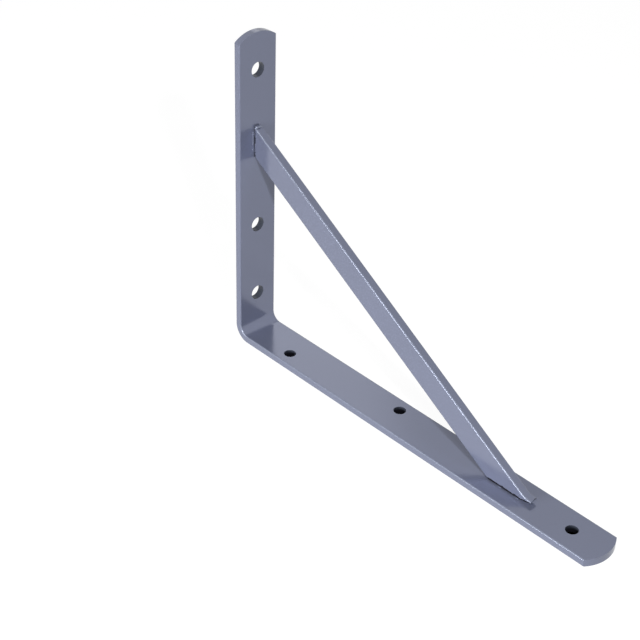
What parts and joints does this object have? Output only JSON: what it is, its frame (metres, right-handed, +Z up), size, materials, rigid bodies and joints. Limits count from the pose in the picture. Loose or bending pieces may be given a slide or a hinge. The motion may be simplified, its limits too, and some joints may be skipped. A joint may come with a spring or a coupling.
{
  "type": "braced shelf bracket",
  "caption": "Steel shelf bracket: a flat bar bent square into a wall leg and a longer shelf leg, with a bar on edge welded across as a brace.",
  "frame": {"origin": "centre of the base, in the shelf plane that the shelf leg stands on, half way from the wall plane to the tip of the shelf leg", "axes": "+X along the shelf leg away from the wall, +Y across the width, +Z up the wall leg"},
  "size_m": [0.31, 0.03, 0.22],
  "materials": {
    "bar_paint": "smooth blue-grey gloss paint on steel",
    "brace_paint": "smooth blue-grey gloss paint on steel",
    "weld_paint": "blue-grey gloss paint over small weld spots"
  },
  "bodies": {
    "root": {"angle_bar": "bar_paint", "brace": "brace_paint", "wall_leg_welds": "weld_paint", "shelf_leg_welds": "weld_paint"}
  },
  "joints": []
}
